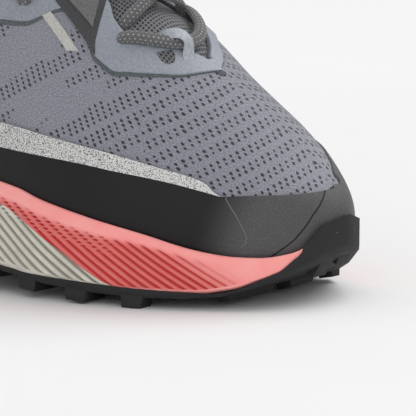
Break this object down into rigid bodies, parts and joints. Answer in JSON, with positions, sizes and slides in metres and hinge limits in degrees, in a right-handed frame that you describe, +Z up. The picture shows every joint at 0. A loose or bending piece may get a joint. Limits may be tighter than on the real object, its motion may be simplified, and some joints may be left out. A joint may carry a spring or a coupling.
{
  "type": "trail running shoe",
  "caption": "Low trail running shoe for the right foot: hollow knit upper, film toe guard, crossed lace, thick two-colour foam midsole and a lugged rubber sole that climbs the toe.",
  "frame": {"origin": "on the floor, under the middle of the sole's length and width", "axes": "+X to the toe, +Y to the medial (inner) side, +Z up; the shoe is for the right foot"},
  "size_m": [0.2994, 0.1108, 0.1349],
  "materials": {
    "outsole": "matt black rubber",
    "carrier": "satin cream foam",
    "midsole": "satin coral foam",
    "upper": "grey heather knit with rows of small holes",
    "toe_guard": "satin black film",
    "eyestay": "satin blue-grey film",
    "heel_counter": "satin black film",
    "insole": "dark grey foam with a textile top",
    "tongue": "grey mesh with a grid of small holes",
    "lace": "woven grey lace with pale flecks"
  },
  "bodies": {
    "root": {"outsole": "outsole", "carrier": "carrier", "midsole": "midsole", "upper": "upper", "toe_guard": "toe_guard", "eyestay": "eyestay", "heel_counter": "heel_counter", "insole": "insole", "tongue": "tongue", "lace": "lace"}
  },
  "joints": []
}
